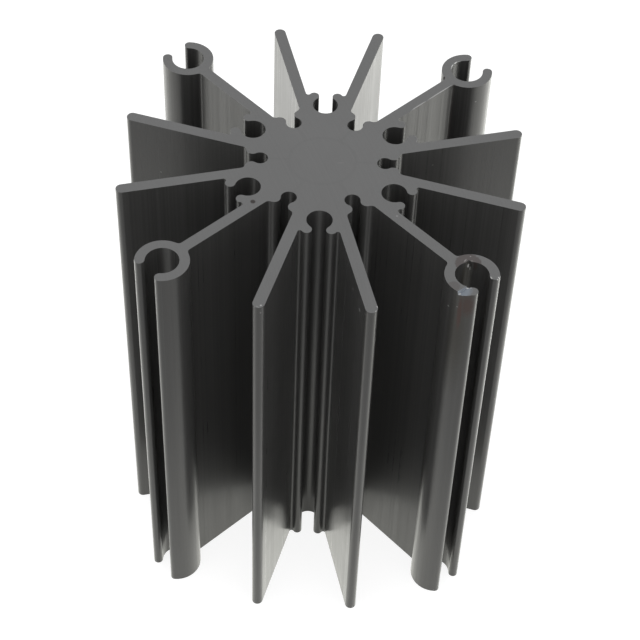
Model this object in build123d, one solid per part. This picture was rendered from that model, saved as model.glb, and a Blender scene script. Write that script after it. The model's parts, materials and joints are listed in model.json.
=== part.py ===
from build123d import *
import os
from math import atan2, cos, degrees, radians, sin, sqrt

# Round heat sink: one aluminium extrusion, sawn to length and standing on a sawn end.
# Twelve fins stand around a solid hub. Every third fin ends in an open screw boss, and
# the floor of each gap between two fins holds a screw channel that runs the whole length.
# The origin is at the centre of the lower end, +Z is up, and all sizes are in millimetres.

# Whole extrusion
LENGTH = 80.0

# Fins
FIN_COUNT = 12
FIN_TIP_RADIUS = 33.5
FIN_THICKNESS = 1.9

# Open screw bosses at the ends of the boss fins, with round lips beside the mouth
FINS_PER_BOSS = 3
BOSS_CENTRE_RADIUS = 33.4
BOSS_BORE_RADIUS = 2.67
BOSS_WALL = 1.6
BOSS_MOUTH_ANGLE = 88.0
BOSS_ROOT_RADIUS = 0.7

# Large screw channels of the hub, the lips that narrow each mouth, and how far the recess
# between a lip and its fin goes down below the top of the lip
LARGE_CENTRE_RADIUS = 13.4
LARGE_BORE_RADIUS = 2.07
LARGE_NECK_WIDTH = 2.23
LARGE_LIP_RADIUS = 0.82
LARGE_RECESS_DEPTH = 0.54

# Small screw channels of the hub, whose lips run into the fins by a plain fillet
SMALL_CENTRE_RADIUS = 10.05
SMALL_BORE_RADIUS = 1.28
SMALL_NECK_WIDTH = 1.76
SMALL_LIP_RADIUS = 1.03
SMALL_ROOT_RADIUS = 0.8

# Damage of the upper end: a blow that sloped one boss's lip down to a step, a gouge in the
# bore of the same boss, and a pit in the face of the hub. Fins are counted from 0, and angles
# are about the struck boss, from the direction of its fin
STRUCK_FIN = 10
BLOW_PLACE_ANGLE = -75.0
BLOW_STEP_ANGLE = 84.0
BLOW_DOWNHILL_ANGLE = 221.0
BLOW_DEPTH = 0.65
BLOW_SLOPE = 17.5
GOUGE_TOP_ANGLE = 144.0
GOUGE_END_ANGLE = 135.0
GOUGE_DEPTH = 0.42
GOUGE_LENGTH = 1.4
PIT_PLACE = (-10.6, -10.05)
PIT_RADIUS = 0.42
PIT_DEPTH = 0.12

PITCH = 360 / FIN_COUNT
CONVEX = 1
CONCAVE = -1


def arc(centre, start, end, bend):
    """An arc about centre from start to end: anticlockwise if convex, clockwise if concave."""
    first = start - centre
    last = end - centre
    from_angle = degrees(atan2(first.Y, first.X))
    sweep = (bend * (degrees(atan2(last.Y, last.X)) - from_angle)) % 360
    return CenterArc(centre, first.length, from_angle, bend * sweep)


def mirrored(point):
    """The same point on the other side of the X axis."""
    return Vector(point.X, -point.Y)


def turned(edges, angle):
    """The edges of one fin or gap, turned from the X axis to their place."""
    return [edge.rotate(Axis.Z, angle) for edge in edges]


def lip_centre(centre_radius, bore_radius, neck_width, lip_radius):
    """The centre of the lip on the +Y side of a screw channel, in a gap that opens along +X."""
    height = neck_width / 2 + lip_radius
    return Vector(centre_radius + sqrt((bore_radius + lip_radius) ** 2 - height**2), height)


def recess_radius(lip, lip_radius, depth):
    """The radius of the recess that touches a lip and its fin, with its floor depth below the lip's top."""
    half_pitch = radians(PITCH / 2)
    floor = lip.X + lip_radius - depth
    room = (floor * sin(half_pitch) - FIN_THICKNESS / 2) / cos(half_pitch) - lip.Y
    loss = (1 - sin(half_pitch)) / cos(half_pitch)
    middle = depth + room * loss
    return (middle - sqrt(middle**2 - loss**2 * (room**2 - depth * (2 * lip_radius - depth)))) / loss**2


def gap_edges(centre_radius, bore_radius, lip, lip_radius, root_radius):
    """The floor of a gap that opens along +X: a screw channel between two lips, and the two fin roots."""
    fin_axis = Vector(1, 0).rotate(Axis.Z, PITCH / 2)
    off_fin = Vector(0, -1).rotate(Axis.Z, PITCH / 2)
    bore = Vector(centre_radius, 0)
    across = FIN_THICKNESS / 2 + root_radius - lip.dot(off_fin)
    root = lip + off_fin * across + fin_axis * sqrt((lip_radius + root_radius) ** 2 - across**2)

    on_flank = root - off_fin * root_radius
    lip_to_root = lip + (root - lip).normalized() * lip_radius
    bore_to_lip = bore + (lip - bore).normalized() * bore_radius
    return [
        arc(mirrored(root), mirrored(on_flank), mirrored(lip_to_root), CONCAVE),
        arc(mirrored(lip), mirrored(lip_to_root), mirrored(bore_to_lip), CONVEX),
        arc(bore, mirrored(bore_to_lip), bore_to_lip, CONCAVE),
        arc(lip, bore_to_lip, lip_to_root, CONVEX),
        arc(root, lip_to_root, on_flank, CONCAVE),
    ]


def plain_end_edges():
    """The full round tip of a fin that runs along +X."""
    half = FIN_THICKNESS / 2
    tip = Vector(FIN_TIP_RADIUS - half, 0)
    return [arc(tip, tip - Vector(0, half), tip + Vector(0, half), CONVEX)]


def boss_end_edges():
    """The open screw boss at the end of a fin that runs along +X, from flank to flank."""
    half = FIN_THICKNESS / 2
    outer_radius = BOSS_BORE_RADIUS + BOSS_WALL
    boss = Vector(BOSS_CENTRE_RADIUS, 0)
    root_height = half + BOSS_ROOT_RADIUS
    root_reach = sqrt((outer_radius + BOSS_ROOT_RADIUS) ** 2 - root_height**2)
    root = Vector(BOSS_CENTRE_RADIUS - root_reach, root_height)
    mouth_side = Vector(1, 0).rotate(Axis.Z, BOSS_MOUTH_ANGLE / 2)

    on_flank = Vector(root.X, half)
    root_to_outside = boss + (root - boss).normalized() * outer_radius
    outside_to_lip = boss + mouth_side * outer_radius
    lip = boss + mouth_side * (BOSS_BORE_RADIUS + BOSS_WALL / 2)
    lip_to_bore = boss + mouth_side * BOSS_BORE_RADIUS
    return [
        arc(mirrored(root), mirrored(on_flank), mirrored(root_to_outside), CONCAVE),
        arc(boss, mirrored(root_to_outside), mirrored(outside_to_lip), CONVEX),
        arc(mirrored(lip), mirrored(outside_to_lip), mirrored(lip_to_bore), CONVEX),
        arc(boss, mirrored(lip_to_bore), lip_to_bore, CONCAVE),
        arc(lip, lip_to_bore, outside_to_lip, CONVEX),
        arc(boss, outside_to_lip, root_to_outside, CONVEX),
        arc(root, root_to_outside, on_flank, CONCAVE),
    ]


def profile():
    """The section of the extrusion, walked anticlockwise from the gap on the +X axis."""
    lip = lip_centre(LARGE_CENTRE_RADIUS, LARGE_BORE_RADIUS, LARGE_NECK_WIDTH, LARGE_LIP_RADIUS)
    root_radius = recess_radius(lip, LARGE_LIP_RADIUS, LARGE_RECESS_DEPTH)
    large = gap_edges(LARGE_CENTRE_RADIUS, LARGE_BORE_RADIUS, lip, LARGE_LIP_RADIUS, root_radius)

    lip = lip_centre(SMALL_CENTRE_RADIUS, SMALL_BORE_RADIUS, SMALL_NECK_WIDTH, SMALL_LIP_RADIUS)
    small = gap_edges(SMALL_CENTRE_RADIUS, SMALL_BORE_RADIUS, lip, SMALL_LIP_RADIUS, SMALL_ROOT_RADIUS)

    stretches = []
    for n in range(FIN_COUNT):
        has_boss = n % FINS_PER_BOSS == 1
        stretches.append(turned(large if n % 2 else small, n * PITCH))
        stretches.append(turned(boss_end_edges() if has_boss else plain_end_edges(), (n + 0.5) * PITCH))

    outline = []
    for stretch, following in zip(stretches, stretches[1:] + stretches[:1]):
        flank = Line(stretch[-1] @ 1, following[0] @ 0)
        outline += stretch + [flank]
    return Face(Wire(outline))


def on_struck_boss(radius, angle):
    """A point of the upper end at a radius and angle about the struck boss, before its fin is turned."""
    return Vector(BOSS_CENTRE_RADIUS, 0, LENGTH) + Vector(radius, 0).rotate(Axis.Z, angle)


def blow_cut():
    """What the blow took off the lip: a slope whose lowest line, at the step, starts outside the boss."""
    outer_radius = BOSS_BORE_RADIUS + BOSS_WALL
    reach = 2 * BOSS_WALL
    low_point = on_struck_boss(outer_radius, BLOW_PLACE_ANGLE) - Vector(0, 0, BLOW_DEPTH)
    downhill = Vector(1, 0).rotate(Axis.Z, BLOW_DOWNHILL_ANGLE)
    upright = downhill * sin(radians(BLOW_SLOPE)) + Vector(0, 0, cos(radians(BLOW_SLOPE)))
    step_line = Vector(1, 0).rotate(Axis.Z, BLOW_STEP_ANGLE)
    slope = Plane(low_point, x_dir=step_line - upright * step_line.dot(upright), z_dir=upright)
    block = Box(2 * reach, 2 * reach, reach, align=(Align.CENTER, Align.MAX, Align.MIN))
    return slope * block


def gouge_cut():
    """A gouge with a square edge, deepest at the upper end, that slants down and runs out of the wall."""
    side = 4 * GOUGE_DEPTH
    top = on_struck_boss(BOSS_BORE_RADIUS + GOUGE_DEPTH, GOUGE_TOP_ANGLE)
    run_out = on_struck_boss(BOSS_BORE_RADIUS, GOUGE_END_ANGLE) - Vector(0, 0, GOUGE_LENGTH)
    to_bore = Vector(-1, 0).rotate(Axis.Z, GOUGE_TOP_ANGLE)
    gouge = Plane(run_out, x_dir=to_bore, z_dir=top - run_out)
    bar = Box(side, side, 2 * GOUGE_LENGTH, align=(Align.MIN, Align.MIN, Align.MIN))
    return gouge * Rot(0, 0, -45) * bar


def pit_cut():
    """The ball that leaves a round pit in the upper end."""
    ball_radius = (PIT_RADIUS**2 + PIT_DEPTH**2) / (2 * PIT_DEPTH)
    return Pos(*PIT_PLACE, LENGTH - PIT_DEPTH + ball_radius) * Sphere(ball_radius)


def heat_sink():
    """The extrusion, sawn off square at both ends, with the damage of its upper end."""
    body = extrude(profile(), LENGTH)
    to_struck_fin = Rot(0, 0, (STRUCK_FIN + 0.5) * PITCH)
    body -= to_struck_fin * blow_cut()
    body -= to_struck_fin * gouge_cut()
    return body - pit_cut()


os.makedirs("parts", exist_ok=True)
export_step(heat_sink(), "parts/heat_sink.step")
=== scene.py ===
"""The looks of a round heat sink: one black anodised aluminium extrusion, sawn to length."""
import json
from math import radians

import bpy
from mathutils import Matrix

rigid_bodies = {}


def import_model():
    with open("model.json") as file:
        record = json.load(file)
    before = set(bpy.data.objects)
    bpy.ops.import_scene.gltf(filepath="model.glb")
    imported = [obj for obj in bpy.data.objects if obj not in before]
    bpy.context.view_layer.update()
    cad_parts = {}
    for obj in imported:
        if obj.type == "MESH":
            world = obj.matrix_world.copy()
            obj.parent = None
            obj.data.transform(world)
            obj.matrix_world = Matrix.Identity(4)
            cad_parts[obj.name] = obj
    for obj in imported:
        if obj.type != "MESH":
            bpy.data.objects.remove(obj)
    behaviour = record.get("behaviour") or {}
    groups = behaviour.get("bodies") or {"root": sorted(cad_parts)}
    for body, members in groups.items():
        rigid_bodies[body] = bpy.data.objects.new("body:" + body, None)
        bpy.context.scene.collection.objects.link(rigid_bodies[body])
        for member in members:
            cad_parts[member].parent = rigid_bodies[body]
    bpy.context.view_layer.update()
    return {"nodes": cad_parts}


# The frame is in metres. The finish is laid out in millimetres, on the part's own coordinates
MM_PER_M = 1000.0
MM = 0.001

# The height of the sawn upper end and of the part's middle
TOP = 80.0
MIDDLE = TOP / 2

# What a place is multiplied by to bring it down to Z = 0, and the middle of a noise
FLATTEN = (1, 1, 0)
NOISE_MIDDLE = 0.5

# Colours of the finish and of its painted highlights and shade, as red, green, blue and alpha
BLACK_DYE = (0.0480, 0.0476, 0.0464, 1)
WORN_DYE = (0.0810, 0.0802, 0.0781, 1)
# Rubbed edges, partly real wear and partly a painted highlight along the corners
RUBBED_EDGE_AND_HIGHLIGHT = (0.200, 0.202, 0.205, 1)
SAWN_GREY = (0.1305, 0.1313, 0.1313, 1)
SAWN_DARK = (0.0905, 0.0905, 0.0905, 1)
# Bare metal of the chips, also used for painted highlights along the lips and a back fin's edge
BARE_METAL_AND_HIGHLIGHT = (0.60, 0.60, 0.59, 1)
BLOW_METAL = (0.170, 0.190, 0.218, 1)
# The blow's step: the same bare metal as its slope, painted lighter as a painted highlight
BLOW_STEP_LIT = (0.36, 0.39, 0.43, 1)
BROWN_STAIN = (0.073, 0.064, 0.0625, 1)
RUST_TINT = (0.047, 0.018, 0.012, 1)
DARK_STAIN = (0.021, 0.018, 0.011, 1)
# Dark of the pits, also the painted shade of a pit in a rim and of a corner
PIT_AND_SHADE_DARK = (0.045, 0.040, 0.038, 1)
DUST_GREY = (0.30, 0.29, 0.28, 1)

# How rough the drawn sides, the sawn ends, bare metal, and the pits and painted shade are
SMOOTH_SIDE = 0.21
ROUGH_SIDE = 0.40
CLOUDY_SIDE = 0.06
SAWN_ROUGHNESS = 0.58
BARE_ROUGHNESS = 0.42
PIT_ROUGHNESS = 0.8

# The glossy film on the dye: how much of it there is on the smooth and on the rough die lines
SMOOTH_FILM = 0.52
ROUGH_FILM = 0.18
FILM_ROUGHNESS = 0.2
FILM_IOR = 1.3
DYE_IOR = 1.3

# How far a normal points along Z where the surface starts to be sawn, and where it fully is
SAWN_FACING = (0.82, 0.9)

# Die lines run along the part: how far apart they are, how long, and how deep, in millimetres.
# A broader set, from another part of the noise, makes up a share of them
LINE_SPACING = 0.40
BROAD_SPACING = 1.6
BROAD_SEED = 17.0
BROAD_SHARE = 0.18
LINE_RUN = 500.0
LINE_DEPTH = 0.004

# Saw marks of the ends, in millimetres: the blade's centre, how far apart its arcs are and how
# deep, how fine the grit is, and how far they and the cloudy tone together darken the grey
BLADE_CENTRE = (-150, -60, 0)
SAW_SPACING = 0.35
SAW_DEPTH = 0.01
GRIT_SCALE = 5.0
MOTTLING = 0.4

# Faint lines of the sawn ends, in millimetres, where streams of metal met in the die: a ring and
# six spokes
RING_RADIUS = 5.4
SPOKE_COUNT = 6
FLOW_HALF_WIDTH = 0.4
FLOW_LINE_SHARE = 0.17

# Slow changes of tone, and how far apart they are in millimetres
CLOUD_SIZE = 16.0

# Worn edges, partly real wear and partly a painted highlight: how far they reach from a corner
# in millimetres, the turns of the normal between which they appear, how fine and how strong
# their patches are, and how much they show
EDGE_REACH = 0.14
EDGE_SAMPLES = 8
EDGE_TURN = (0.02, 0.2)
PATCH_SCALE = 1.1
PATCHINESS = 0.6
WEAR_AND_HIGHLIGHT_SHARE = 0.3

# Dust: the pattern's cell in millimetres, a speck's radius in cells, and the share with a speck
DUST_CELL = 4.0
DUST_SPECK = 0.03
DUST_SHARE = 0.12

# The part of each noise that is stretched over the whole range from none to full
LINE_SPAN = (0.235, 0.765)
SAW_SPAN = (0.3, 0.7)
CLOUD_SPAN = (0.32, 0.68)
PATCH_SPAN = (0.42, 0.62)

# The borders of the marks below are ragged: how fine that is, and how far it moves them
RAGGED_SCALE = 2.3
RAGGED_REACH = 0.35

# Marks of the real part, and painted highlights and shade, each as place, turn about Z in
# degrees, reach along its own axes, softness of its border and strength. Chips are down to bare
# metal, and the same colour paints highlights along the lips and a back fin's edge
CHIPS_AND_HIGHLIGHTS = [
    # step and inner rim of the blow on the struck boss
    ((21.7, -27.2, 79.4), 30, (0.22, 0.16, 0.25), 0.4, 0.75),
    ((22.8, -26.25, 79.75), -11, (0.34, 0.13, 0.2), 0.4, 0.70),
    ((23.38, -26.35, 79.85), -11, (0.16, 0.1, 0.2), 0.4, 0.55),
    # far lip of the same boss
    ((26.5, -24.1, TOP), -60, (0.34, 0.12, 0.25), 0.4, 0.65),
    ((27.45, -24.4, TOP), 0, (0.14, 0.12, 0.25), 0.4, 0.85),
    ((27.66, -24.05, 79.95), -60, (0.28, 0.1, 0.3), 0.4, 0.85),
    # both lips that stand out furthest: a painted highlight along their whole length
    ((27.86, -23.95, MIDDLE), 0, (0.13, 0.42, 70.0), 0.5, 0.85),
    ((-27.86, -23.95, MIDDLE), 0, (0.13, 0.42, 70.0), 0.5, 0.70),
    # gouge in its bore, the burr beside it and a dot above it
    ((23.1, -21.0, 79.15), 0, (0.18, 0.3, 0.42), 0.5, 0.95),
    ((23.42, -20.97, 78.55), 0, (0.14, 0.3, 0.4), 0.5, 0.28),
    ((22.6, -20.7, TOP), 56, (0.42, 0.13, 0.12), 0.5, 0.26),
    ((23.6, -20.72, TOP), 0, (0.26, 0.12, 0.12), 0.5, 0.12),
    ((23.41, -19.82, TOP), 0, (0.13, 0.13, 0.12), 0.5, 0.32),
    # boss at the left of the photo
    ((-27.89, -22.98, TOP), 45, (0.2, 0.12, 0.2), 0.5, 0.30),
    ((-26.35, -24.38, TOP), 0, (0.12, 0.12, 0.12), 0.5, 0.18),
    # tips of the two front fins
    ((-8.08, -31.86, TOP), 20, (0.2, 0.15, 0.15), 0.5, 0.55),
    ((-8.57, -32.2, TOP), -36, (0.4, 0.10, 0.12), 0.5, 0.16),
    ((-8.1, -32.34, 78.85), 0, (0.14, 0.14, 0.24), 0.5, 0.25),
    ((9.29, -31.1, TOP), 105, (0.24, 0.11, 0.15), 0.5, 0.70),
    ((9.08, -32.0, TOP), 60, (0.24, 0.1, 0.15), 0.5, 0.45),
    ((8.83, -32.3, 0.4), 15, (0.16, 0.2, 0.35), 0.5, 0.35),
    # painted highlights along the edge of the right back fin and the rim of its boss
    ((15.43, 14.27, TOP), 45, (1.9, 0.10, 0.1), 0.3, 0.45),
    ((18.93, 17.77, TOP), 45, (3.2, 0.10, 0.1), 0.3, 0.50),
    ((21.03, 24.26, TOP), 76, (0.5, 0.11, 0.12), 0.5, 0.65),
    ((21.15, 24.75, TOP), 68, (0.5, 0.12, 0.12), 0.4, 0.95),
    ((21.7, 25.6, TOP), 50, (0.5, 0.12, 0.12), 0.4, 0.90),
    ((22.28, 25.93, TOP), 30, (0.5, 0.11, 0.12), 0.5, 0.40),
    # specks in the dye of the sides, and two on the sawn face
    ((25.3, 19.69, 76.67), 0, (0.18, 0.2, 0.17), 0.4, 0.38),
    ((20.28, -26.28, 75.64), 0, (0.17, 0.3, 0.15), 0.4, 0.50),
    ((21.51, -27.33, 76.68), 0, (0.14, 0.2, 0.14), 0.4, 0.26),
    ((5.62, -24.65, 76.7), 15, (0.2, 0.35, 0.16), 0.4, 0.60),
    ((6.72, -28.74, 76.5), 15, (0.25, 0.45, 0.2), 0.3, 1.00),
    ((7.5, -31.66, 78.9), 15, (0.2, 0.3, 0.16), 0.4, 0.45),
    ((-26.95, 6.24, 69.85), 0, (0.18, 0.3, 0.16), 0.4, 0.30),
    ((17.97, 3.83, 76.53), 0, (0.18, 0.3, 0.16), 0.4, 0.20),
    ((12.06, -11.78, TOP), 0, (0.18, 0.14, 0.12), 0.4, 0.28),
    ((2.9, -0.32, TOP), 5, (0.75, 0.13, 0.12), 0.5, 0.05),
]
# The brown round spot that something left on the struck boss, and a greyer one below it
BROWN_SPOTS = [
    ((23.05, -21.3, TOP), 0, (2.1, 2.1, 0.5), 0.08, 1.0),
    ((20.75, -26.2, TOP), 0, (1.05, 1.05, 0.5), 0.12, 0.55),
]
# Reddish runs below the spot, in the bore, and below the blow, on the wall
RUST_RUNS = [
    ((24.2, -21.0, 79.3), 0, (0.5, 0.3, 1.4), 0.6, 0.35),
    ((21.95, -27.55, 75.5), 0, (0.45, 0.5, 4.6), 0.5, 1.0),
    ((23.0, -27.8, 77.6), 0, (1.5, 0.6, 3.0), 0.6, 0.7),
]
# Darker, duller runs at the same two places
DARK_RUNS = [
    ((22.9, -21.1, 76.5), 0, (1.2, 0.6, 5.0), 0.6, 1.0),
    ((21.9, -27.4, 70.0), 0, (2.6, 1.3, 15.0), 0.8, 0.85),
]
# Dark, dull places: a pit in the hub; one in the rim of the right back boss, its dark painted
# shade; and painted shade in the corner between that boss and its fin
PITS_AND_PAINTED_SHADE = [
    ((-10.6, -10.05, TOP), 0, (0.48, 0.48, 0.4), 0.35, 1.0),
    ((19.72, 21.66, 79.6), 0, (0.35, 0.45, 0.6), 0.3, 1.0),
    ((21.35, 19.82, MIDDLE), 45, (0.5, 0.35, 65.0), 0.6, 0.9),
]

# The blow's bare faces: a point of its lowest line, the directions out of its slope and away from
# its step, how far behind them the bare metal may start, and how far it reaches
BLOW_POINT = (21.48, -27.32, 79.35)
BLOW_UP = (-0.300, 0.021, 0.954)
BLOW_AWAY = (0.615, -0.760, 0.210)
BLOW_SLACK = 0.04
BLOW_REACH = [((21.9, -26.9, 79.7), 0, (2.0, 1.7, 1.0), 0.45, 1.0)]

# Studio, in metres and watts. To the camera the floor is greyer and gives off light, so that it
# looks white and keeps a soft shadow. The part's gloss shows it in the glow's tint
WHITE = (1, 1, 1, 1)
FLOOR_SIZE = 6.0
FLOOR_WHITE = (0.8, 0.8, 0.8, 1)
FLOOR_SHOWN = (0.30, 0.30, 0.30, 1)
FLOOR_ROUGHNESS = 0.9
FLOOR_GLOW = (1.0, 1.0, 0.93, 1)
FLOOR_LIFT = 0.87
WORLD_LEVEL = 0.40
LAMP_SIZE = 0.8
LAMP_HEIGHT = 1.0
LAMP_WATTS = 6.4

# How bright the floor is in the part's gloss: its plain level, what is added close to the part
# and out to its right and left, and what is taken off behind it, which is more at the left. In
# front, and below the hub, only a share of that is left
GLOW_PLAIN = 1.0
GLOW_NEAR = 0.35
GLOW_RIGHT = 1.0
GLOW_LEFT = 0.29
BACK_DROP = 0.08
BACK_LEFT_DROP = 0.2
GLOW_FRONT = 0.3
GLOW_HUB = 0.55

# The places on the floor between which each of these changes, in millimetres. The dark front
# comes closer by a share of the distance to the side
NEAR_REACH = (34.0, 50.0)
HUB_REACH = (10.0, 17.0)
SIDE_REACH = (38.0, 92.0)
BACK_REACH = (40.0, 100.0)
BACK_LEFT_REACH = (-50.0, 20.0)
FRONT_REACH = (-72.0, -44.0)
FRONT_SWEEP = -0.08

# Camera, at the photograph's viewing angle: metres, degrees, and millimetres for lens and sensor
CAMERA_PLACE = (0.00176844, -0.21588188, 0.28388159)
CAMERA_TURN = (42.17529, -1.61843, 2.05422)
CAMERA_LENS = 103.681
CAMERA_SHIFT = (-0.002014, -0.025291)
CAMERA_SENSOR = 36.0
CAMERA_CLIP = (0.01, 20.0)


def new_group(name, vectors, numbers, output):
    """A shader node group with named vector and number inputs, and one named output."""
    group = bpy.data.node_groups.new(name, "ShaderNodeTree")
    for vector in vectors:
        group.interface.new_socket(name=vector, in_out="INPUT", socket_type="NodeSocketVector")
    for number in numbers:
        group.interface.new_socket(name=number, in_out="INPUT", socket_type="NodeSocketFloat")
    group.interface.new_socket(name=output, in_out="OUTPUT", socket_type="NodeSocketFloat")
    given = group.nodes.new("NodeGroupInput").outputs
    result = group.nodes.new("NodeGroupOutput").inputs[output]
    return group, given, result


def fill(tree, node, inputs):
    """Sets a node's inputs, by name or number. A socket gets a link, and the rest are values."""
    for name, value in inputs.items():
        if isinstance(value, bpy.types.NodeSocket):
            tree.links.new(value, node.inputs[name])
        else:
            node.inputs[name].default_value = value
    return node


def add(tree, kind, inputs=None, **settings):
    """A new node with its settings and inputs."""
    node = tree.nodes.new(kind)
    for name, value in settings.items():
        setattr(node, name, value)
    return fill(tree, node, inputs or {})


def use(tree, group, inputs):
    """The only output of a node group placed in a tree with its own values."""
    return add(tree, "ShaderNodeGroup", inputs, node_tree=group).outputs[0]


def calc(tree, operation, *values):
    """The result of a Math node."""
    return add(tree, "ShaderNodeMath", dict(enumerate(values)), operation=operation).outputs[0]


def calc_vector(tree, operation, *values, output="Vector"):
    """The result of a Vector Math node."""
    node = add(tree, "ShaderNodeVectorMath", dict(enumerate(values)), operation=operation)
    return node.outputs[output]


def length(tree, vector):
    """How long a vector is."""
    return calc_vector(tree, "LENGTH", vector, output="Value")


def reach_along(tree, vector, direction):
    """How far a vector reaches in a direction."""
    return calc_vector(tree, "DOT_PRODUCT", vector, direction, output="Value")


def alike(tree, value):
    """A vector with the same value along each axis."""
    return add(tree, "ShaderNodeCombineXYZ", {"X": value, "Y": value, "Z": value}).outputs[0]


def axes_of(tree, vector):
    """A vector's values along X, Y and Z."""
    return add(tree, "ShaderNodeSeparateXYZ", {"Vector": vector}).outputs


def noise(tree, place, scale=1.0, detail=3.0, roughness=0.5):
    """Noise that changes with the place."""
    inputs = {"Vector": place, "Scale": scale, "Detail": detail, "Roughness": roughness}
    return add(tree, "ShaderNodeTexNoise", inputs).outputs["Fac"]


def remap(tree, value, low, high, to_low=0.0, to_high=1.0, curve="LINEAR"):
    """A value stretched from one range to another, and held inside it."""
    ranges = {"From Min": low, "From Max": high, "To Min": to_low, "To Max": to_high}
    node = add(tree, "ShaderNodeMapRange", {"Value": value, **ranges}, interpolation_type=curve)
    return node.outputs["Result"]


def mix_colour(tree, share, first, second):
    """The first colour where share is 0, the second where it is 1."""
    inputs = {0: share, 6: first, 7: second}
    return add(tree, "ShaderNodeMix", inputs, data_type="RGBA").outputs[2]


def mix_value(tree, share, first, second):
    """The first value where share is 0, the second where it is 1."""
    inputs = {0: share, 2: first, 3: second}
    return add(tree, "ShaderNodeMix", inputs, data_type="FLOAT").outputs[0]


def halfway(tree, first, second):
    """The mean of two values."""
    return mix_value(tree, 0.5, first, second)


def strongest(tree, masks):
    """The largest of several masks."""
    result = masks[0]
    for mask in masks[1:]:
        result = calc(tree, "MAXIMUM", result, mask)
    return result


def die_lines_group():
    """Fine lines that the die leaves along the extrusion: all noise is drawn out along Z."""
    group, given, result = new_group("Die Lines", ["Position"], ["Spacing", "Run", "Seed"], "Lines")
    across = calc(group, "DIVIDE", 1.0, given["Spacing"])
    along = calc(group, "DIVIDE", 1.0, given["Run"])
    scale = add(group, "ShaderNodeCombineXYZ", {"X": across, "Y": across, "Z": along}).outputs[0]
    start = alike(group, given["Seed"])
    drawn = calc_vector(group, "MULTIPLY_ADD", given["Position"], scale, start)
    group.links.new(remap(group, noise(group, drawn, roughness=0.6), *LINE_SPAN), result)
    return group


def saw_marks_group():
    """Shallow arcs that a saw blade leaves across a sawn end, about the blade's far-off centre."""
    group, given, result = new_group("Saw Marks", ["Position", "Blade Centre"], ["Spacing"], "Marks")
    flat = calc_vector(group, "MULTIPLY", given["Position"], FLATTEN)
    from_centre = calc_vector(group, "SUBTRACT", flat, given["Blade Centre"])
    steps = calc(group, "DIVIDE", length(group, from_centre), given["Spacing"])
    by_step = {"W": steps, "Scale": 1.0, "Detail": 2.0}
    arcs = add(group, "ShaderNodeTexNoise", by_step, noise_dimensions="1D").outputs["Fac"]
    grit = noise(group, given["Position"], GRIT_SCALE)
    group.links.new(remap(group, halfway(group, arcs, grit), *SAW_SPAN), result)
    return group


def flow_lines_group():
    """A ring about the part's axis and the spokes that run out from it, evenly spread from +X."""
    group, given, result = new_group(
        "Flow Lines", ["Position"], ["Ring Radius", "Spoke Count", "Half Width"], "Mask")
    distance = length(group, calc_vector(group, "MULTIPLY", given["Position"], FLATTEN))
    beyond_ring = calc(group, "SUBTRACT", distance, given["Ring Radius"])
    off_ring = calc(group, "ABSOLUTE", beyond_ring)
    ring = remap(group, off_ring, 0.0, given["Half Width"], 1.0, 0.0)

    # The sine of half the count times the angle is zero on each spoke
    axes = axes_of(group, given["Position"])
    angle = calc(group, "ARCTAN2", axes["Y"], axes["X"])
    half_count = calc(group, "DIVIDE", given["Spoke Count"], 2.0)
    swing = calc(group, "ABSOLUTE", calc(group, "SINE", calc(group, "MULTIPLY", angle, half_count)))
    off_spoke = calc(group, "DIVIDE", calc(group, "MULTIPLY", swing, distance), half_count)
    spokes = remap(group, off_spoke, 0.0, given["Half Width"], 1.0, 0.0)
    outside = calc(group, "GREATER_THAN", beyond_ring, 0.0)
    spokes = calc(group, "MULTIPLY", spokes, outside)
    group.links.new(strongest(group, [ring, spokes]), result)
    return group


def cloudy_group():
    """Slow, soft changes of tone, as from handling and from the dye."""
    group, given, result = new_group("Cloudy Tone", ["Position"], ["Size"], "Tone")
    scaled = calc_vector(group, "DIVIDE", given["Position"], alike(group, given["Size"]))
    clouds = noise(group, scaled, detail=4.0, roughness=0.6)
    group.links.new(remap(group, clouds, *CLOUD_SPAN), result)
    return group


def worn_edge_and_highlight_group():
    """Sharp corners, where the surface turns within a short reach, broken up by noise: partly real
    wear and partly a painted highlight.
    """
    group, given, result = new_group("Worn Edge And Highlight", ["Position"], ["Patchiness"], "Wear And Highlight")
    bevel = add(group, "ShaderNodeBevel", {"Radius": EDGE_REACH * MM}, samples=EDGE_SAMPLES)
    plain = add(group, "ShaderNodeNewGeometry").outputs["Normal"]
    turn = calc(group, "SUBTRACT", 1.0, reach_along(group, bevel.outputs[0], plain))
    patches = noise(group, given["Position"], PATCH_SCALE, detail=4.0, roughness=0.7)
    kept = mix_value(group, given["Patchiness"], 1.0, remap(group, patches, *PATCH_SPAN))
    group.links.new(calc(group, "MULTIPLY", remap(group, turn, *EDGE_TURN), kept), result)
    return group


def mark_group():
    """One local mark: an ellipsoid at a place, turned about Z, with a border moved by a value."""
    group, given, result = new_group(
        "Mark", ["Position", "Place", "Reach"], ["Turn", "Softness", "Strength", "Ragged"], "Mask")
    offset = calc_vector(group, "SUBTRACT", given["Position"], given["Place"])
    turn = {"Vector": offset, "Angle": calc(group, "MULTIPLY", given["Turn"], -1.0)}
    turned = add(group, "ShaderNodeVectorRotate", turn, rotation_type="Z_AXIS").outputs[0]
    share = length(group, calc_vector(group, "DIVIDE", turned, given["Reach"]))
    full = calc(group, "SUBTRACT", 1.0, given["Softness"])
    inside = remap(group, calc(group, "ADD", share, given["Ragged"]), full, 1.0, 1.0, 0.0)
    group.links.new(calc(group, "MULTIPLY", inside, given["Strength"]), result)
    return group


def cut_face_group():
    """The two faces of a step cut: all that is not below its slope, on the far side of its step."""
    group, given, result = new_group(
        "Cut Face", ["Position", "Point", "Up", "Away"], ["Slack"], "Mask")
    offset = calc_vector(group, "SUBTRACT", given["Position"], given["Point"])
    limit = calc(group, "MULTIPLY", given["Slack"], -1.0)
    above = calc(group, "GREATER_THAN", reach_along(group, offset, given["Up"]), limit)
    beyond = calc(group, "GREATER_THAN", reach_along(group, offset, given["Away"]), limit)
    group.links.new(calc(group, "MULTIPLY", above, beyond), result)
    return group


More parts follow.
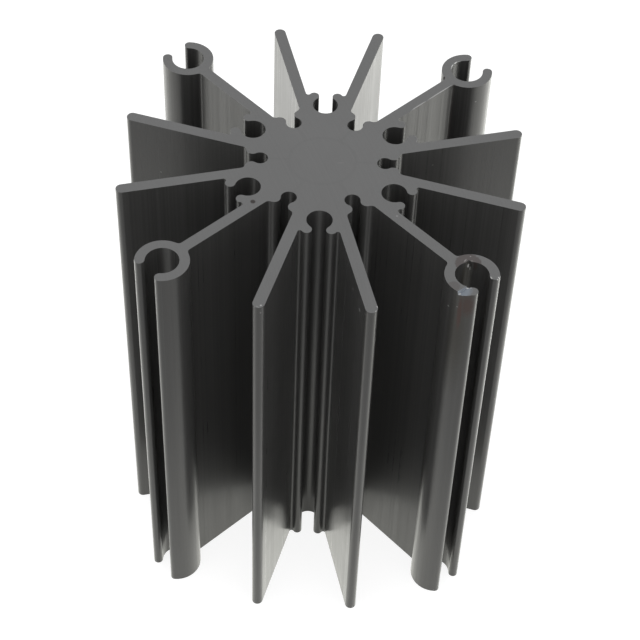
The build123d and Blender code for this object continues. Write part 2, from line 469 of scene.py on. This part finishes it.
def dust_group():
    """Sparse specks of dust: a few of the cells of a pattern hold one small round speck each."""
    group, given, result = new_group("Dust", ["Position"], ["Cell", "Speck", "Share"], "Mask")
    scaled = calc_vector(group, "DIVIDE", given["Position"], alike(group, given["Cell"]))
    cells = add(group, "ShaderNodeTexVoronoi", {"Vector": scaled, "Scale": 1.0})
    lot = add(group, "ShaderNodeSeparateColor", {"Color": cells.outputs["Color"]}).outputs[0]
    chosen = calc(group, "LESS_THAN", lot, given["Share"])
    speck = calc(group, "LESS_THAN", cells.outputs["Distance"], given["Speck"])
    group.links.new(calc(group, "MULTIPLY", chosen, speck), result)
    return group


def add_patterns(tree, position):
    """The masks that run over the whole part, by name."""
    die_lines = die_lines_group()
    fine = {"Position": position, "Spacing": LINE_SPACING, "Run": LINE_RUN}
    broad = {"Position": position, "Spacing": BROAD_SPACING, "Run": LINE_RUN, "Seed": BROAD_SEED}
    saw = {"Position": position, "Blade Centre": BLADE_CENTRE, "Spacing": SAW_SPACING}
    dust = {"Position": position, "Cell": DUST_CELL, "Speck": DUST_SPECK, "Share": DUST_SHARE}
    flow = {"Position": position, "Ring Radius": RING_RADIUS, "Spoke Count": SPOKE_COUNT,
            "Half Width": FLOW_HALF_WIDTH}
    return {
        "lines": mix_value(tree, BROAD_SHARE, use(tree, die_lines, fine), use(tree, die_lines, broad)),
        "saw": use(tree, saw_marks_group(), saw),
        "flow": use(tree, flow_lines_group(), flow),
        "tone": use(tree, cloudy_group(), {"Position": position, "Size": CLOUD_SIZE}),
        "wear_and_highlight": use(tree, worn_edge_and_highlight_group(), {"Position": position, "Patchiness": PATCHINESS}),
        "dust": use(tree, dust_group(), dust),
    }


def add_marks(tree, position):
    """The masks of the marks that have a place of their own, by name."""
    mark = mark_group()
    waver = calc(tree, "SUBTRACT", noise(tree, position, RAGGED_SCALE), NOISE_MIDDLE)
    ragged = calc(tree, "MULTIPLY", waver, RAGGED_REACH)

    def marks(places):
        """The masks of several marks in one."""
        made = []
        for place, turn, reach, softness, strength in places:
            shape = {"Position": position, "Place": place, "Turn": radians(turn), "Reach": reach}
            border = {"Softness": softness, "Strength": strength, "Ragged": ragged}
            made.append(use(tree, mark, {**shape, **border}))
        return strongest(tree, made)

    cut = {"Position": position, "Point": BLOW_POINT, "Up": BLOW_UP, "Away": BLOW_AWAY,
           "Slack": BLOW_SLACK}
    return {
        "chips_and_highlights": marks(CHIPS_AND_HIGHLIGHTS),
        "blow": calc(tree, "MULTIPLY", use(tree, cut_face_group(), cut), marks(BLOW_REACH)),
        "dark runs": marks(DARK_RUNS),
        "rust runs": marks(RUST_RUNS),
        "brown spots": marks(BROWN_SPOTS),
        "pits_and_shade": marks(PITS_AND_PAINTED_SHADE),
    }


def finish_colour(tree, masks):
    """The dye with its stains on the sides, the mottled grey of the ends, bare metal, and painted
    highlights and shade.
    """
    side = mix_colour(tree, masks["lines"], BLACK_DYE, WORN_DYE)
    side = mix_colour(tree, masks["dark runs"], side, DARK_STAIN)
    side = mix_colour(tree, masks["rust runs"], side, RUST_TINT)

    mottled = calc(tree, "MULTIPLY", halfway(tree, masks["saw"], masks["tone"]), MOTTLING)
    end = mix_colour(tree, mottled, SAWN_GREY, SAWN_DARK)
    flow = calc(tree, "MULTIPLY", masks["flow"], FLOW_LINE_SHARE)
    end = mix_colour(tree, flow, end, SAWN_DARK)
    end = mix_colour(tree, masks["brown spots"], end, BROWN_STAIN)

    colour = mix_colour(tree, masks["sawn"], side, end)
    # Worn edges, and a painted highlight along them
    wear_and_highlight = calc(tree, "MULTIPLY", masks["wear_and_highlight"], WEAR_AND_HIGHLIGHT_SHARE)
    colour = mix_colour(tree, wear_and_highlight, colour, RUBBED_EDGE_AND_HIGHLIGHT)
    # Pits, and painted shade at a pit in a rim and in a corner
    colour = mix_colour(tree, masks["pits_and_shade"], colour, PIT_AND_SHADE_DARK)
    # The blow's bare metal, painted lighter on its steep step as a painted highlight
    blow = mix_colour(tree, masks["sawn"], BLOW_STEP_LIT, BLOW_METAL)
    colour = mix_colour(tree, masks["blow"], colour, blow)
    colour = mix_colour(tree, masks["dust"], colour, DUST_GREY)
    # Chips of bare metal, and painted highlights along the lips and a back fin's edge
    return mix_colour(tree, masks["chips_and_highlights"], colour, BARE_METAL_AND_HIGHLIGHT)


def finish_roughness(tree, masks):
    """Glossy sides between the rougher die lines, matt ends, and dull pits and painted shade."""
    side = mix_value(tree, masks["lines"], SMOOTH_SIDE, ROUGH_SIDE)
    side = calc(tree, "ADD", side, calc(tree, "MULTIPLY", masks["tone"], CLOUDY_SIDE))
    roughness = mix_value(tree, masks["sawn"], side, SAWN_ROUGHNESS)
    bare = strongest(tree, [masks["chips_and_highlights"], masks["blow"]])
    roughness = mix_value(tree, bare, roughness, BARE_ROUGHNESS)
    return mix_value(tree, masks["pits_and_shade"], roughness, PIT_ROUGHNESS)


def finish_film(tree, masks):
    """How much of the glossy film there is. The pits and painted shade have none."""
    film = mix_value(tree, masks["lines"], SMOOTH_FILM, ROUGH_FILM)
    return mix_value(tree, masks["pits_and_shade"], film, 0.0)


def finish_relief(tree, masks):
    """The surface's direction as the die lines and the saw marks turn it."""
    side = calc(tree, "MULTIPLY", masks["lines"], LINE_DEPTH)
    end = calc(tree, "MULTIPLY", masks["saw"], SAW_DEPTH)
    height = mix_value(tree, masks["sawn"], side, end)
    bump = add(tree, "ShaderNodeBump", {"Height": height, "Strength": 1.0, "Distance": MM})
    return bump.outputs["Normal"]


def anodised_aluminium():
    """Black dyed extruded sides with die lines, matt grey sawn ends, the marks of use, and painted
    highlights and shade.
    """
    material = bpy.data.materials.new("anodised_aluminium")
    material.use_nodes = True
    tree = material.node_tree
    shader = tree.nodes["Principled BSDF"]
    coordinates = add(tree, "ShaderNodeTexCoord").outputs
    position = calc_vector(tree, "MULTIPLY", coordinates["Object"], (MM_PER_M, MM_PER_M, MM_PER_M))
    facing = calc(tree, "ABSOLUTE", axes_of(tree, coordinates["Normal"])["Z"])
    masks = {
        "sawn": remap(tree, facing, *SAWN_FACING),
        **add_patterns(tree, position),
        **add_marks(tree, position),
    }
    tree.links.new(finish_colour(tree, masks), shader.inputs["Base Color"])
    tree.links.new(finish_roughness(tree, masks), shader.inputs["Roughness"])
    tree.links.new(finish_film(tree, masks), shader.inputs["Coat Weight"])
    tree.links.new(finish_relief(tree, masks), shader.inputs["Normal"])
    shader.inputs["IOR"].default_value = DYE_IOR
    shader.inputs["Coat Roughness"].default_value = FILM_ROUGHNESS
    shader.inputs["Coat IOR"].default_value = FILM_IOR
    return material


def floor_glow(tree):
    """How bright the floor is in the part's gloss, by the place on the floor."""
    coordinates = add(tree, "ShaderNodeTexCoord").outputs["Object"]
    place = calc_vector(tree, "MULTIPLY", coordinates, (MM_PER_M, MM_PER_M, 0))
    axes = axes_of(tree, place)
    distance = length(tree, place)
    leftwards = calc(tree, "MULTIPLY", axes["X"], -1.0)
    near = remap(tree, distance, *NEAR_REACH, GLOW_NEAR, 0.0, curve="SMOOTHSTEP")
    right = remap(tree, axes["X"], *SIDE_REACH, 0.0, GLOW_RIGHT, curve="SMOOTHSTEP")
    left = remap(tree, leftwards, *SIDE_REACH, 0.0, GLOW_LEFT, curve="SMOOTHSTEP")

    back = remap(tree, axes["Y"], *BACK_REACH)
    drop = remap(tree, axes["X"], *BACK_LEFT_REACH, BACK_LEFT_DROP, BACK_DROP)
    plain = calc(tree, "SUBTRACT", GLOW_PLAIN, calc(tree, "MULTIPLY", back, drop))

    aside = calc(tree, "MULTIPLY", calc(tree, "ABSOLUTE", axes["X"]), FRONT_SWEEP)
    forward = calc(tree, "ADD", axes["Y"], aside)
    front = remap(tree, forward, *FRONT_REACH, GLOW_FRONT, 1.0, curve="SMOOTHSTEP")
    below = remap(tree, distance, *HUB_REACH, GLOW_HUB, 1.0)

    sides = calc(tree, "ADD", right, left)
    around = calc(tree, "ADD", sides, calc(tree, "ADD", near, plain))
    return calc(tree, "MULTIPLY", around, calc(tree, "MULTIPLY", front, below))


def floor_material():
    """A plain white floor that keeps a soft shadow, and is seen as a lit table in the gloss."""
    material = bpy.data.materials.new("floor_white")
    material.use_nodes = True
    tree = material.node_tree
    shader = tree.nodes["Principled BSDF"]
    shader.inputs["Roughness"].default_value = FLOOR_ROUGHNESS
    shader.inputs["Specular IOR Level"].default_value = 0.0
    rays = add(tree, "ShaderNodeLightPath").outputs
    base = mix_colour(tree, rays["Is Camera Ray"], FLOOR_WHITE, FLOOR_SHOWN)
    tree.links.new(base, shader.inputs["Base Color"])

    seen = calc(tree, "ADD", rays["Is Camera Ray"], rays["Is Transmission Ray"])
    shown = calc(tree, "MULTIPLY", seen, FLOOR_LIFT)
    in_gloss = calc(tree, "MULTIPLY", rays["Is Glossy Ray"], floor_glow(tree))
    tint = mix_colour(tree, rays["Is Glossy Ray"], WHITE, FLOOR_GLOW)
    tree.links.new(tint, shader.inputs["Emission Color"])
    tree.links.new(calc(tree, "ADD", shown, in_gloss), shader.inputs["Emission Strength"])
    return material


def add_floor():
    """The floor, which isn't part of the object."""
    bpy.ops.object.select_all(action="DESELECT")
    bpy.ops.mesh.primitive_plane_add(size=FLOOR_SIZE)
    floor = bpy.context.active_object
    floor.name = "floor"
    floor.data.materials.append(floor_material())


def add_lights():
    """White surroundings and one soft lamp overhead."""
    world = bpy.data.worlds.new("surroundings")
    bpy.context.scene.world = world
    world.use_nodes = True
    tree = world.node_tree
    background = tree.nodes["Background"]
    background.inputs["Color"].default_value = WHITE
    rays = add(tree, "ShaderNodeLightPath").outputs
    seen = [rays["Is Camera Ray"], rays["Is Glossy Ray"], rays["Is Transmission Ray"]]
    level = mix_value(tree, strongest(tree, seen), WORLD_LEVEL, 1.0)
    tree.links.new(level, background.inputs["Strength"])

    lamp = bpy.data.lights.new("overhead_lamp", "AREA")
    lamp.shape = "SQUARE"
    lamp.size = LAMP_SIZE
    lamp.energy = LAMP_WATTS
    holder = bpy.data.objects.new("overhead_lamp", lamp)
    holder.location = (0, 0, LAMP_HEIGHT)
    bpy.context.scene.collection.objects.link(holder)


def add_camera():
    """The camera, at the photograph's viewing angle and crop."""
    lens = bpy.data.cameras.new("camera")
    lens.sensor_width = CAMERA_SENSOR
    lens.lens = CAMERA_LENS
    lens.shift_x, lens.shift_y = CAMERA_SHIFT
    lens.clip_start, lens.clip_end = CAMERA_CLIP
    camera = bpy.data.objects.new("camera", lens)
    camera.location = CAMERA_PLACE
    camera.rotation_euler = [radians(angle) for angle in CAMERA_TURN]
    bpy.context.scene.collection.objects.link(camera)
    bpy.context.scene.camera = camera


for leftover in list(bpy.data.objects):
    bpy.data.objects.remove(leftover)
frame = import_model()

heat_sink = frame["nodes"]["heat_sink"]
heat_sink.material_slots[0].material = anodised_aluminium()
add_floor()
add_lights()
add_camera()
bpy.context.scene.view_settings.view_transform = "Standard"
